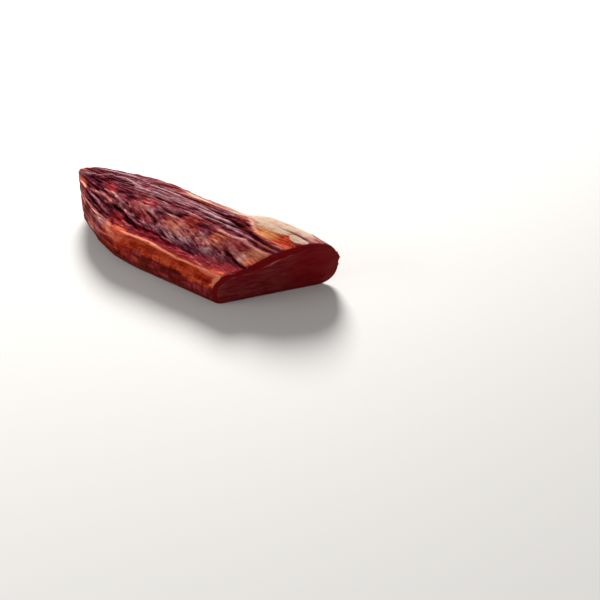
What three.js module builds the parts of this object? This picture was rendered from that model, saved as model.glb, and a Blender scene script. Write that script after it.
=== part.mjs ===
// A piece of cured pork loin, lying on its flat underside. One end tapers to a gathered tip and the
// other is a slanting knife cut. Millimetres, +Z up. The loin runs along X, with its tip at -X and the
// cut at +X. The origin is the middle of its underside.
import * as THREE from "three";

// Driving sizes
const NEAR_LENGTH = 141; // from the tip to the cut, along the near side
const WIDTH = 62;
const HEIGHT = 44;
const CUT_SLANT = 1.07; // how far the cut runs along X for each millimetre across
const GIRTH = 185; // round the thick end, used to turn millimetres into shares of a turn

// The tip, measured from the near edge of the underside
const TIP_ACROSS = 40;
const TIP_HEIGHT = 26;
const TIP_OPEN = 0.04; // share of each taper that the blunt end cuts off
const TIP_HOLLOW = 2.5; // how deep the middle of the blunt end lies

// How far the skin stands out over the blunt end, or lies back from it, and where round the girth
const TIP_FLAPS = [
  { at: 0.3, spread: 0.09, out: 5, fades: 0.07 },
  { at: 0.5, spread: 0.14, out: -4, fades: 0.16 },
];

// How each side tapers towards the tip: the taper's length and how full it is
const NEAR_TAPER = { length: 57, power: 1.56 };
const FAR_TAPER = { length: 122, power: 4.1 };
const TOP_TAPER = { length: 90, power: 2.6 };
const UNDER_TAPER = { length: 20, power: 2.7 };
const ROUND_LENGTH = 78; // the section is round at the tip and full this far along

// The full section as shares of its width and height, from the far side over the top to the near side
const SECTION = [
  [1, 0.46], [0.985, 0.7], [0.905, 0.9], [0.78, 1],
  [0.62, 1], [0.43, 0.92], [0.25, 0.73], [0.1, 0.63],
  [0.02, 0.46], [0, 0.28], [0.01, 0.11], [0.07, 0],
  [0.34, 0], [0.62, 0], [0.86, 0], [0.97, 0.16],
];
const SECTION_MIDDLE = [0.5, 0.45];

// Where things lie round the girth, in turns from the far side over the top
const TOP_FROM = 0.14;
const NEAR_EDGE = 0.425;
const UNDER_FROM = 0.66;
const UNDER_TO = 0.93;

// Relief: heights, depths and widths in millimetres, the rest in shares of the length and of a turn
const WRINKLES = {
  depth: 1.6, along: 7, round: 36, soft: 0.25, sunk: 0.45, nearSide: 0.25, nearCut: 0.55,
};
const SWELL = { depth: 1.4, along: 5, round: 9 };
const GATHERS = { depth: 2.4, folds: 23, sway: 0.4, full: 0.08, end: 0.36 };
const EDGE_BEAD = { height: 1.1, width: 3.2, from: 0.26, full: 0.41 };
const CREASE_ENDS = 0.2; // share of a crease over which it runs out at each end
const CREASES = [
  { from: [0.06, 0.352], to: [0.33, 0.35], depth: 2.2, width: 2.8 },
  { from: [0.27, 0.345], to: [0.48, 0.388], depth: 3, width: 3.8 },
  { from: [0.05, 0.378], to: [0.31, 0.378], depth: 1.8, width: 2.6 },
  { from: [0.08, 0.205], to: [0.36, 0.2], depth: 1.6, width: 2.6 },
  { from: [0.6, 0.195], to: [0.84, 0.238], depth: 1.7, width: 3.4 },
  { from: [0.76, 0.235], to: [1.06, 0.272], depth: 1.9, width: 3.4 },
  { from: [0.82, 0.345], to: [1.06, 0.376], depth: 1.8, width: 3.4 },
  { from: [0.44, 0.262], to: [0.74, 0.268], depth: 1.2, width: 2.4 },
  { from: [0.5, 0.38], to: [0.8, 0.39], depth: 1.4, width: 2.8 },
  { from: [0.84, 0.15], to: [1.06, 0.19], depth: 1.1, width: 3 },
  { from: [0.4, 0.13], to: [0.92, 0.13], depth: 1.5, width: 18 },
];

// The flat underside has no relief, except where it curves up to the tip
const UNDER_BLEND = 0.05; // turns over which the relief runs out beside the underside
const LIFT_FROM = 0.14;
const LIFT_FULL = 0.04;

// Facets
const ROWS = 54;
const ROW_CROWDING = 1.3; // rows lie closer together at the tip
const COLUMNS = [
  { from: 0, to: TOP_FROM, count: 10 },
  { from: TOP_FROM, to: 0.44, count: 64 },
  { from: 0.44, to: UNDER_FROM, count: 18 },
  { from: UNDER_FROM, to: UNDER_TO, count: 8 },
  { from: UNDER_TO, to: 1, count: 5 },
];
const CUT_STEPS = 24; // steps that find where a line along the surface meets the cut
const SLOPE_STEP = 0.002; // in turns, for the direction that the surface faces

const LOIN_COLOUR = 0x5e222a;

const mix = (a, b, share) => a + (b - a) * share;

function ease(low, high, value) {
  const share = THREE.MathUtils.clamp((value - low) / (high - low), 0, 1);
  return share * share * (3 - 2 * share);
}

// A bump of height 1 round zero
const bump = (distance, width) => Math.exp(-((distance / width) ** 2));

// A repeatable number from 0 to 1 for each pair of whole numbers
function chance(i, j) {
  const spread = Math.sin(i * 127.1 + j * 311.7) * 43758.5453;
  return spread - Math.floor(spread);
}

// Smooth noise from 0 to 1 that closes on itself after `turns` cells in v
function noise(u, v, turns) {
  const iu = Math.floor(u);
  const iv = Math.floor(v);
  const fu = ease(0, 1, u - iu);
  const fv = ease(0, 1, v - iv);
  const cell = (a, b) => chance(a, ((b % turns) + turns) % turns);
  const low = mix(cell(iu, iv), cell(iu + 1, iv), fu);
  const high = mix(cell(iu, iv + 1), cell(iu + 1, iv + 1), fu);
  return mix(low, high, fv);
}

// From 0 at the very tip to 1 where a taper ends
function taper(distance, { length, power }, open) {
  const share = THREE.MathUtils.clamp(distance / length + open, 0, 1);
  return (1 - (1 - share) ** power) ** (1 / power);
}

// A point of the full section at `girth` turns, on a smooth closed curve through SECTION
function fullSection(girth) {
  const count = SECTION.length;
  const place = (girth - Math.floor(girth)) * count;
  const first = Math.floor(place);
  const t = place - first;
  return [0, 1].map((axis) => {
    const [a, b, c, d] = [-1, 0, 1, 2].map((k) => SECTION[(first + k + count) % count][axis]);
    const square = (2 * a - 5 * b + 4 * c - d) * t ** 2;
    const cube = (3 * b - a - 3 * c + d) * t ** 3;
    return 0.5 * (2 * b + (c - a) * t + square + cube);
  });
}

// The smooth form at a distance along X from the tip, as [across, height]
function smoothForm(distance, girth) {
  const [across, up] = fullSection(girth);
  const angle = Math.atan2(up - SECTION_MIDDLE[1], across - SECTION_MIDDLE[0]);
  const full = ease(0, ROUND_LENGTH, distance);
  const share = mix(0.5 + 0.5 * Math.cos(angle), across, full);
  const rise = mix(0.5 + 0.5 * Math.sin(angle), Math.max(up, 0), full);
  const near = mix(TIP_ACROSS, 0, taper(distance, NEAR_TAPER, TIP_OPEN));
  const far = mix(TIP_ACROSS, WIDTH, taper(distance, FAR_TAPER, TIP_OPEN / 2));
  const top = mix(TIP_HEIGHT, HEIGHT, taper(distance, TOP_TAPER, TIP_OPEN / 2));
  const under = mix(TIP_HEIGHT, 0, taper(distance, UNDER_TAPER, TIP_OPEN));
  return [mix(near, far, share), mix(under, top, rise)];
}

// How far the loin reaches along X at `girth`, up to the plane of the cut
function reach(girth) {
  let length = NEAR_LENGTH;
  for (let step = 0; step < CUT_STEPS; step += 1) {
    const [across] = smoothForm(length, girth);
    length = mix(length, NEAR_LENGTH + CUT_SLANT * across, 0.5);
  }
  return length;
}

// Folds of the dried skin: rounded, with narrow valleys, shallow on the near side and towards the cut
function wrinkles(along, girth) {
  const { depth, round, soft, sunk, nearSide, nearCut } = WRINKLES;
  const fold = Math.hypot(2 * noise(along * WRINKLES.along, girth * round, round) - 1, soft);
  const side = mix(1, nearSide, ease(NEAR_EDGE - 0.03, NEAR_EDGE, girth));
  return depth * side * mix(1, nearCut, ease(0.75, 1, along)) * (fold - sunk);
}

// Broad unevenness of the meat
function swell(along, girth) {
  return SWELL.depth * (noise(along * SWELL.along + 9, girth * SWELL.round, SWELL.round) - 0.5);
}

// Pleats that run out from the tip
function gathers(along, girth) {
  const sway = GATHERS.sway * noise(along * 3, 4, 7);
  const pleat = 1 - Math.abs(Math.sin(Math.PI * (GATHERS.folds * girth + sway)));
  return -GATHERS.depth * pleat * (1 - ease(GATHERS.full, GATHERS.end, along));
}

// The raised line of fat along the near edge of the top
function edgeBead(along, girth) {
  const { height, width, from, full } = EDGE_BEAD;
  return height * bump((girth - NEAR_EDGE) * GIRTH, width) * ease(from, full, along);
}

// A groove between two places on the surface, each as [share of the length, turns round the girth]
function crease(along, girth, { from, to, depth, width }) {
  const share = (along - from[0]) / (to[0] - from[0]);
  const ends = ease(0, CREASE_ENDS, share) * (1 - ease(1 - CREASE_ENDS, 1, share));
  const away = (girth - mix(from[1], to[1], share)) * GIRTH;
  return -depth * ends * bump(away, width / 2);
}

// How far the surface stands out from the smooth form
function relief(along, girth) {
  const above = 1 - ease(UNDER_FROM - UNDER_BLEND, UNDER_FROM, girth)
    + ease(UNDER_TO, UNDER_TO + UNDER_BLEND, girth);
  const lifted = 1 - ease(LIFT_FULL, LIFT_FROM, along);
  const folds = wrinkles(along, girth) + swell(along, girth) + gathers(along, girth);
  const lines = CREASES.reduce((sum, one) => sum + crease(along, girth, one), edgeBead(along, girth));
  return Math.max(above, lifted) * ease(-0.03, 0.03, along) * (folds + lines);
}

// A point of the surface: `along` runs from 0 at the tip to 1 at the cut, `length` away
function surfacePoint(along, girth, length) {
  const distance = along * length;
  const [across, up] = smoothForm(distance, girth);
  const [aheadAcross, aheadUp] = smoothForm(distance, girth + SLOPE_STEP);
  const [behindAcross, behindUp] = smoothForm(distance, girth - SLOPE_STEP);
  const outward = new THREE.Vector2(aheadUp - behindUp, behindAcross - aheadAcross).normalize();
  const height = relief(along, girth);
  const y = across + outward.x * height;
  const flap = TIP_FLAPS.reduce((sum, { at, spread, out, fades }) =>
    sum + out * bump(girth - at, spread) * (1 - ease(0, fades, along)), 0);
  const onCut = along === 1 ? CUT_SLANT * (y - across) : 0; // keeps the last row on the cut's plane
  return new THREE.Vector3(distance - flap + onCut, y, Math.max(up + outward.y * height, 0));
}

// Where the columns of points lie round the girth
function columnGirths() {
  return COLUMNS.flatMap(({ from, to, count }) =>
    Array.from({ length: count }, (_, k) => mix(from, to, k / count)));
}

const rowAlong = (row) => (row / (ROWS - 1)) ** ROW_CROWDING;

// Whether a cell is split from its first corner, whichever way lies closer to the relief in its middle
function splitsFromFirst(row, girth, nextGirth) {
  const [here, after] = [rowAlong(row), rowAlong(row + 1)];
  const middle = relief((here + after) / 2, (girth + nextGirth) / 2);
  const first = (relief(here, girth) + relief(after, nextGirth)) / 2;
  const second = (relief(here, nextGirth) + relief(after, girth)) / 2;
  return Math.abs(first - middle) <= Math.abs(second - middle);
}

// Two triangles for each cell of the skin, and a fan over each end
function loinFaces(girths, tip, cut) {
  const columns = girths.length;
  const last = (ROWS - 1) * columns;
  const faces = [];
  for (let k = 0; k < columns; k += 1) {
    const next = (k + 1) % columns;
    const nextGirth = next === 0 ? 1 : girths[next];
    for (let row = 0; row < ROWS - 1; row += 1) {
      const [a, b] = [row * columns + k, row * columns + next];
      const [c, d] = [b + columns, a + columns];
      if (splitsFromFirst(row, girths[k], nextGirth)) {
        faces.push(a, b, c, a, c, d);
      } else {
        faces.push(a, b, d, b, c, d);
      }
    }
    faces.push(tip, next, k, cut, last + k, last + next);
  }
  return faces;
}

function loinGeometry() {
  const girths = columnGirths();
  const lengths = girths.map(reach);
  const points = [];
  for (let row = 0; row < ROWS; row += 1) {
    girths.forEach((girth, k) => points.push(surfacePoint(rowAlong(row), girth, lengths[k])));
  }
  const middleOf = (ring) => ring
    .reduce((sum, point) => sum.add(point), new THREE.Vector3()).divideScalar(ring.length);
  const tipMiddle = middleOf(points.slice(0, girths.length));
  const cutMiddle = middleOf(points.slice(-girths.length));
  tipMiddle.x += TIP_HOLLOW;
  const tip = points.push(tipMiddle) - 1;
  const cut = points.push(cutMiddle) - 1;

  const geometry = new THREE.BufferGeometry().setFromPoints(points);
  geometry.setIndex(loinFaces(girths, tip, cut));
  geometry.computeBoundingBox();
  const centre = geometry.boundingBox.getCenter(new THREE.Vector3());
  geometry.translate(-centre.x, -centre.y, -geometry.boundingBox.min.z);
  geometry.computeVertexNormals();
  return geometry;
}

const loin = new THREE.Mesh(
  loinGeometry(),
  new THREE.MeshStandardMaterial({ color: LOIN_COLOUR, roughness: 0.45, metalness: 0 }),
);
loin.name = "loin";

const curedLoin = new THREE.Group();
curedLoin.add(loin);

export default curedLoin;
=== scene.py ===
"""A piece of cured pork loin: its dried, wrinkled skin, the gathered tip and the knife cut.

The surface is worked out in millimetres from the same sizes as the solid, and written in metres.
A place on the skin is `along`, from 0 at the tip to 1 at the cut, and `girth`, in turns from the
far side over the top to the near side and under.
"""
import math

import bpy
import numpy as np
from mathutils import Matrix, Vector


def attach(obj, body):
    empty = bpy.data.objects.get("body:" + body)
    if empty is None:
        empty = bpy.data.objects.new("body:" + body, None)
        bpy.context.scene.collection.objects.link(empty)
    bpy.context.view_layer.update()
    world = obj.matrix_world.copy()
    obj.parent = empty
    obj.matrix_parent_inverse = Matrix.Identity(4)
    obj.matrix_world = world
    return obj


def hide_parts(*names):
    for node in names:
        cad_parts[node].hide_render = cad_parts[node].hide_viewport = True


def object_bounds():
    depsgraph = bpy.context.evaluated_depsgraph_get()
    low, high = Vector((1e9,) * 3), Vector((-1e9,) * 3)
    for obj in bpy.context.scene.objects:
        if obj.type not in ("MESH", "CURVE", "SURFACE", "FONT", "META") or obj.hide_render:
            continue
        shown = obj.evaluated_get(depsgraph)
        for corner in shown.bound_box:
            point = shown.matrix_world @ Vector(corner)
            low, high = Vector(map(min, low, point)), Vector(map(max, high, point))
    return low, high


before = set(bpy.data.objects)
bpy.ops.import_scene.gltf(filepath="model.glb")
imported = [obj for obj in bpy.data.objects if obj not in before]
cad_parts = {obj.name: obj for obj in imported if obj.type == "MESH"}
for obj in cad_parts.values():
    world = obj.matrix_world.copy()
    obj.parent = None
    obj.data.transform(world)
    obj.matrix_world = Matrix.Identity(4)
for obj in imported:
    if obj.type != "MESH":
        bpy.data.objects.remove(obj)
CAD_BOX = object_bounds()

MM = 0.001

# Driving sizes of the solid, in millimetres
NEAR_LENGTH = 141
WIDTH = 62
HEIGHT = 44
CUT_SLANT = 1.07
GIRTH = 185
BAR_LENGTH = 200

# The tip
TIP_ACROSS = 40
TIP_HEIGHT = 26
TIP_OPEN = 0.04
TIP_HOLLOW = 2.5
TIP_FLAPS = [
    {"at": 0.3, "spread": 0.09, "out": 5, "fades": 0.07},
    {"at": 0.5, "spread": 0.14, "out": -4, "fades": 0.16},
]

# How each side tapers towards the tip: the taper's length and how full it is
NEAR_TAPER = (57, 1.56)
FAR_TAPER = (122, 4.1)
TOP_TAPER = (90, 2.6)
UNDER_TAPER = (20, 2.7)
ROUND_LENGTH = 78

# The full section as shares of its width and height, from the far side over the top
SECTION = np.array([
    (1, 0.46), (0.985, 0.7), (0.905, 0.9), (0.78, 1),
    (0.62, 1), (0.43, 0.92), (0.25, 0.73), (0.1, 0.63),
    (0.02, 0.46), (0, 0.28), (0.01, 0.11), (0.07, 0),
    (0.34, 0), (0.62, 0), (0.86, 0), (0.97, 0.16),
])
SECTION_MIDDLE = (0.5, 0.45)

# A pair named FROM or END holds where a soft step starts and where it is done, along or round the
# girth. One named ALONG or ROUND holds a step up and a step down.

# Where things lie round the girth, and where along the underside settles on the floor
NEAR_EDGE = 0.425
UNDER_FROM = 0.66
UNDER_TO = 0.93
UNDER_BLEND = 0.05
LIFT_END = (0.04, 0.14)

# Broad relief, in millimetres, with its noise's cells along the skin, cells round it and start
WRINKLE_DEPTH = 1.6
WRINKLE_CELLS = (7, 36)
WRINKLE_SOFT = 0.12
WRINKLE_SUNK = 0.4
SWELL_DEPTH = 1.4
SWELL_CELLS = (5, 9, 9)
GATHER_DEPTH = 1.4
GATHER_FOLDS = 23
GATHER_SWAY = 0.4
GATHER_SWAY_CELLS = 3
GATHER_SWAY_ROW = 4
GATHER_END = (0.08, 0.36)
BEAD_HEIGHT = 1.1
BEAD_WIDTH = 3.2
BEAD_FROM = (0.26, 0.41)

# Lines, or stretches of them, that have both relief and a colour, as (along, girth). All places of
# lines and patches were typed in and are in thousandths.
FAT_CRACK = [(860, 188), (890, 179), (918, 173), (945, 176), (1020, 187)]
FAR_LINE = [(650, 218), (683, 215), (701, 208), (760, 209)]
FAR_FOLD = [(340, 210), (420, 219), (570, 219), (640, 226)]
LIGHT_LINE = [(387, 232), (530, 237), (640, 240), (720, 246), (790, 250)]
MIDDLE_LINE = [(380, 317), (430, 318), (462, 317), (494, 327), (550, 334)]
SLANTING_LINE = [(590, 336), (630, 345), (675, 362), (730, 372)]
WAVY_LINE = [
    (690, 282), (720, 286), (775, 292), (826, 296), (851, 292), (893, 298), (948, 304), (1060, 302),
]
SIDE_LINE = [(720, 395), (766, 403), (804, 411), (847, 421), (910, 434)]
EDGE_LINE = [
    (433, 428), (500, 424), (587, 424), (633, 428), (713, 435), (750, 438), (850, 436), (950, 438),
    (1060, 445),
]
FAT_EDGE = [(786, 210), (818, 231), (853, 246), (896, 255), (1060, 257)]
TIP_LINE = [
    (60, 397), (119, 393), (160, 391), (195, 400), (242, 401), (264, 413), (297, 423), (350, 440),
]

# Lines that sink into the skin: the places that each runs through, its depth and its width in
# millimetres. Every line fades out at both ends.
LINE_ENDS = 0.06
CREASES = [
    # The tip
    ([(0, 322), (60, 308), (100, 284), (140, 258), (190, 230), (250, 238), (320, 257)], 0.8, 1.4),
    ([(80, 195), (360, 192)], 1, 1.4),
    ([(80, 333), (155, 330), (200, 327), (260, 326), (310, 332)], 0.9, 1.1),
    ([(60, 356), (120, 353), (190, 353), (250, 356), (340, 359)], 1.1, 1.3),
    ([(60, 362), (120, 363), (176, 369), (260, 379), (340, 386)], 0.8, 1.1),
    ([(60, 382), (180, 383), (300, 398)], 0.7, 1.1),
    # The main crease and what runs on from it
    ([(260, 341), (300, 347), (330, 351), (374, 361), (430, 377), (460, 388),
      (500, 392)], 2, 1.9),
    ([(420, 374), (500, 377), (550, 379), (600, 388), (700, 392), (800, 396)], 0.8, 1.5),
    ([(830, 339), (860, 344), (900, 351), (945, 361), (1060, 376)], 1.4, 1.7),
    # Across the top
    ([(220, 287), (300, 293), (390, 298)], 0.5, 1.6),
    ([(300, 277), (430, 271)], 0.5, 1.2),
    ([(500, 243), (600, 247), (700, 254), (760, 262)], 0.65, 1.3),
    ([(420, 262), (580, 265), (660, 269), (790, 278), (940, 289), (1060, 292)], 0.6, 1.3),
    ([(440, 289), (490, 291), (540, 296), (600, 300)], 1, 1.3),
    ([(390, 316), (450, 326), (500, 335), (550, 346)], 0.5, 1.2),
    ([(310, 326), (360, 325), (410, 328), (450, 340), (520, 360)], 0.4, 1.2),
    ([(330, 338), (400, 350), (480, 360)], 0.4, 1.1),
    ([(540, 347), (620, 357), (700, 374)], 0.4, 1.2),
    ([(620, 318), (700, 328), (760, 350), (820, 364)], 0.4, 1.1),
    # Beside the fat and across it
    ([(620, 220), (720, 228), (750, 238), (830, 254), (870, 266), (910, 272),
      (1060, 279)], 1.3, 2.2),
    ([(690, 199), (750, 212), (780, 225), (850, 248)], 0.9, 1.4),
    (FAT_CRACK, 1.2, 1.5),
]

# Lines that stand up from the skin: the places that each runs through, its height and its width
RIDGES = [
    # The long light line from the tip, and its neighbours
    ([(0, 310), (50, 297), (70, 286), (93, 263), (122, 241), (150, 224), (184, 211), (224, 210),
      (255, 218), (289, 238), (333, 241), *LIGHT_LINE], 0.8, 1.9),
    ([(50, 167), (123, 166), (168, 165), (240, 166)], 0.6, 1.5),
    ([(140, 172), (220, 179), (280, 187), *FAR_FOLD], 0.6, 1.5),
    ([(400, 195), (436, 191), (464, 187), (560, 190)], 0.5, 1.4),
    ([(260, 252), (360, 250), (500, 252)], 0.4, 1.2),
    ([(440, 276), (490, 277), (560, 280)], 0.3, 1.4),
    ([(560, 252), (633, 256), (700, 260), (755, 265), (820, 271), (900, 279),
      (1060, 290)], 0.5, 1.4),
    (FAR_LINE, 0.5, 1.5),
    # Along the middle
    ([(200, 304), (238, 310), (296, 323), (350, 330)], 0.5, 1.3),
    ([(450, 298), (490, 300), (550, 305), (610, 309)], 0.5, 1.3),
    (MIDDLE_LINE, 0.5, 1.4),
    ([(380, 322), (420, 325), (465, 338), (520, 352)], 0.4, 1.2),
    (SLANTING_LINE, 0.4, 1.3),
    (WAVY_LINE, 0.6, 1.4),
    # Beside the main crease
    ([(80, 352), (147, 346), (185, 339), (240, 339), (310, 343)], 0.5, 1.5),
    ([(260, 336), (320, 343), (376, 354), (436, 368), (550, 370), (600, 381),
      (680, 387)], 0.5, 1.2),
    ([(300, 362), (355, 372), (410, 390), (460, 402)], 0.6, 1.6),
    ([(130, 359), (187, 361), (227, 365), (274, 374), (340, 378)], 0.4, 1.1),
    (TIP_LINE, 0.3, 2.2),
    # The edge between the top and the near side, and the edge of the fat
    ([(380, 430), *EDGE_LINE], 0.6, 1.8),
    (SIDE_LINE, 0.4, 1.3),
    ([(700, 178), (748, 190), *FAT_EDGE], 0.5, 1.8),
]

# Soft swells of the far top edge towards the cut; the first is a hollow
BACK_SWELLS = [
    {"line": [(420, 130), (760, 130)], "rise": -1, "width": 18, "ends": 0.1},
    {"line": [(680, 130), (1040, 130)], "rise": 3.4, "width": 26, "ends": 0.16},
]

# Long, even folds side by side along the far part of the top, in millimetres
COMB_PITCH = 2.6
COMB_DEPTH = 0.8
COMB_ROUND = ((0.12, 0.17), (0.252, 0.302))
COMB_ALONG = ((0.04, 0.2), (0.75, 0.95))
COMB_CELLS = (4, 22)
COMB_UNEVEN = (0.3, 1.3)

# Small pleats between the broad gathers of the tip
PLEAT_DEPTH = 0.8
PLEAT_FOLDS = 59
PLEAT_ALONG = ((0, 0.05), (0.12, 0.34))

# Where folds slant towards the near side, and by how much of a turn for the whole length
SLANT = 0.22
SLANT_MIDDLE = 0.35
SLANT_WIDTH = 0.055
SLANT_FROM = (0.15, 0.35)

# What makes lines and folds waver: for each grain its size, cells along, cells round and seed.
# Lines and patches waver by shares of the length and of a turn, folds by their own width.
LINE_SWAY = [(0.003, 13, 8, 12), (0.0012, 34, 20, 13)]
PATCH_SHIFT = [(0.02, 12, 36, 5), (0.012, 30, 90, 7)]
PATCH_SWAY = [(0.006, 8, 24, 6), (0.005, 22, 60, 9)]
COMB_SWAY = [(2.2, 3, 10, 21), (0.7, 9, 30, 22)]
PLEAT_SWAY = [(0.8, 5, 9, 31)]

# Finer folds: depth in millimetres, the cells along and round and the seed of their grain, what
# makes them waver, and whether their thin lines are crests or furrows
FINE_FOLDS = [
    {"depth": 0.85, "grain": (12, 66, 3), "sway": (1.6, 4, 12, 4), "thin_crests": False},
    {"depth": 0.5, "grain": (15, 80, 5), "sway": (1.4, 5, 12, 6), "thin_crests": True},
    {"depth": 0.35, "grain": (27, 140, 8), "sway": (1.4, 9, 12, 9), "thin_crests": False},
]
FINE_GAIN = 2.6
FINE_SOFT = 0.05
FINE_AMONG_COMBED = 0.5
FOLDS_FROM = (-0.1, 0.3)
CREST_POWER = 1.5

# Where folds are shallower, and by what share: on the near side and under, by the cut and on fat.
# At the very tip all relief is.
FLAT_ROUND = ((NEAR_EDGE - 0.02, NEAR_EDGE + 0.01), (UNDER_TO, 0.99))
FLAT_FROM = (0.2, 0.4)
FOLDS_ON_FLAT = 0.25
BY_CUT_FROM = (0.75, 1)
FOLDS_BY_CUT = 0.55
FOLDS_ON_FAT = 0.3
RELIEF_FROM = (-0.03, 0.03)

# Where the skin is smooth and mottled
CALM_FROM = (0.22, 0.42)
CALM_SIDE_FROM = (NEAR_EDGE + 0.005, NEAR_EDGE + 0.045)
CALM_UNDER_FROM = (UNDER_FROM - 0.04, UNDER_FROM)
CALM_UNDER_END = (0.94, 0.99)
CALM_ON_FAT = 0.5

# The skin's tone, which paints shade into folds and creases and highlights onto crests and ridges:
# its level, and how much each kind of relief changes it
TONE_LEVEL = 0.55
WRINKLE_TONE = 0.3
GATHER_TONE = 0.08
PLEAT_TONE = 0.3
COMB_TONE = 0.6
COMB_MIDDLE = 0.55
FINE_TONE = 0.42
CREASE_TONE = 0.3
RIDGE_TONE = 0.8

# Mesh: rows along, and columns round the girth as (from, to, how many)
ROWS = 270
ROW_CROWDING = 1.15
COLUMNS = [
    (0, 0.12, 36),
    (0.12, 0.45, 172),
    (0.45, UNDER_FROM, 62),
    (UNDER_FROM, UNDER_TO, 26),
    (UNDER_TO, 1, 18),
]
CUT_ROUNDING = 0.5
CUT_EDGE_STEPS = (0.15, 0.5)
CUT_RINGS = 34
CUT_CROWDING = 1.5
TIP_RINGS = 9
FACE_START = TIP_RINGS + ROWS + len(CUT_EDGE_STEPS)

# Rounds that find the plane of the cut, where the skin starts to lean with it, the turn either
# way that finds the skin's outward direction, and a length too small to matter
REACH_ROUNDS = 24
LEAN_START = 0.97
GIRTH_STEP = 0.002
TINY = 1e-9

# Numbers without a pattern, which scatter the noise
SCATTER = (127.1, 311.7, 43758.5453)
SEED_STEP = 41


def mix(a, b, share):
    return a + (b - a) * share


def ease(low, high, value):
    share = np.clip((value - low) / (high - low), 0, 1)
    return share * share * (3 - 2 * share)


def within(value, step_up, step_down):
    """1 between two soft steps, each given by both its ends, and 0 outside."""
    return ease(*step_up, value) * (1 - ease(*step_down, value))


def bump(distance, width):
    return np.exp(-((distance / width) ** 2))


def wave(value, height, rate, start=0):
    return height * np.sin(value * rate + start)


def from_thousandths(numbers):
    return np.array(numbers) / 1000


def chance(i, j):
    """A repeatable number from 0 to 1 for each pair of whole numbers."""
    spread = np.sin(i * SCATTER[0] + j * SCATTER[1]) * SCATTER[2]
    return spread - np.floor(spread)


def noise(u, v, turns):
    """Smooth noise from 0 to 1 that closes on itself after `turns` cells in v."""
    iu, iv = np.floor(u), np.floor(v)
    fu, fv = ease(0, 1, u - iu), ease(0, 1, v - iv)
    low = mix(chance(iu, iv % turns), chance(iu + 1, iv % turns), fu)
    high = mix(chance(iu, (iv + 1) % turns), chance(iu + 1, (iv + 1) % turns), fu)
    return mix(low, high, fv)


def skin_noise(along, girth, cells_along, cells_round, start=0):
    """Smooth noise from 0 to 1, with so many cells along the skin and round it."""
    return noise(along * cells_along + start, girth * cells_round, cells_round)


def grain(u, v, turns, seed):
    """Noise without a grid's look, about -0.7 to 0.7, that closes on itself after `turns` cells."""
    iu, iv = np.floor(u), np.floor(v)
    fu, fv = u - iu, v - iv

    def corner(du, dv):
        angle = 2 * math.pi * chance(iu + du + SEED_STEP * seed, (iv + dv) % turns)
        return np.cos(angle) * (fu - du) + np.sin(angle) * (fv - dv)

    su, sv = ease(0, 1, fu), ease(0, 1, fv)
    return mix(mix(corner(0, 0), corner(1, 0), su), mix(corner(0, 1), corner(1, 1), su), sv)


def waver(along, girth, grains):
    """The sum of grains over the skin, each with its size, cells along, cells round and seed."""
    return sum(
        size * grain(along * cells_along, girth * cells_round, cells_round, seed)
        for size, cells_along, cells_round, seed in grains
    )


def strand(along, girth, places, width, ends=LINE_ENDS):
    """1 along a line through `places`, 0 beside it, fading out at both ends; width in millimetres."""
    stations, turns = from_thousandths(places).T
    first, last = stations[0], stations[-1]
    ends = min(ends, (last - first) / 3)
    reached = within(along, (first, first + ends), (last - ends, last))
    away = (girth + waver(along, girth, LINE_SWAY) - np.interp(along, stations, turns)) * GIRTH
    return reached * bump(away, width / 2)


def taper(distance, sizes, open_share):
    """How far a side has grown at a distance from the tip, from near 0 to 1."""
    length, power = sizes
    share = np.clip(distance / length + open_share, 0, 1)
    return (1 - (1 - share) ** power) ** (1 / power)


def full_section(girth):
    """Points of the full section on a closed Catmull-Rom curve, as two arrays of shares."""
    place = (girth % 1) * len(SECTION)
    first = np.floor(place).astype(int)
    t = (place - first)[..., None]
    a, b, c, d = (SECTION[(first + k) % len(SECTION)] for k in (-1, 0, 1, 2))
    square = (2 * a - 5 * b + 4 * c - d) * t ** 2
    cube = (3 * b - a - 3 * c + d) * t ** 3
    point = 0.5 * (2 * b + (c - a) * t + square + cube)
    return point[..., 0], point[..., 1]


def smooth_form(distance, girth):
    """The smooth form at a distance along X from the tip, as across and height."""
    across, up = full_section(girth)
    angle = np.arctan2(up - SECTION_MIDDLE[1], across - SECTION_MIDDLE[0])
    full = ease(0, ROUND_LENGTH, distance)
    share = mix(0.5 + 0.5 * np.cos(angle), across, full)
    rise = mix(0.5 + 0.5 * np.sin(angle), np.maximum(up, 0), full)
    near = mix(TIP_ACROSS, 0, taper(distance, NEAR_TAPER, TIP_OPEN))
    far = mix(TIP_ACROSS, WIDTH, taper(distance, FAR_TAPER, TIP_OPEN / 2))
    top = mix(TIP_HEIGHT, HEIGHT, taper(distance, TOP_TAPER, TIP_OPEN / 2))
    under = mix(TIP_HEIGHT, 0, taper(distance, UNDER_TAPER, TIP_OPEN))
    return mix(near, far, share), mix(under, top, rise)


def reach(girth):
    """How far the loin reaches along X at `girth`, up to the plane of the cut, in half steps."""
    length = np.full_like(girth, NEAR_LENGTH)
    for _ in range(REACH_ROUNDS):
        across, _ = smooth_form(length, girth)
        length = mix(length, NEAR_LENGTH + CUT_SLANT * across, 0.5)
    return length


# Layers that lighten or darken the tone, with painted highlights and pale bloom in the first and
# painted shade and dark blotches in the second, then layers of colour, each over the ones before
TONE_LAYERS = ("painted_highlight_and_bloom", "painted_shade_and_blotches")
COLOUR_LAYERS = ("violet", "brown", "pink", "tan", "red", "orange", "salmon", "cream", "amber")

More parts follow.
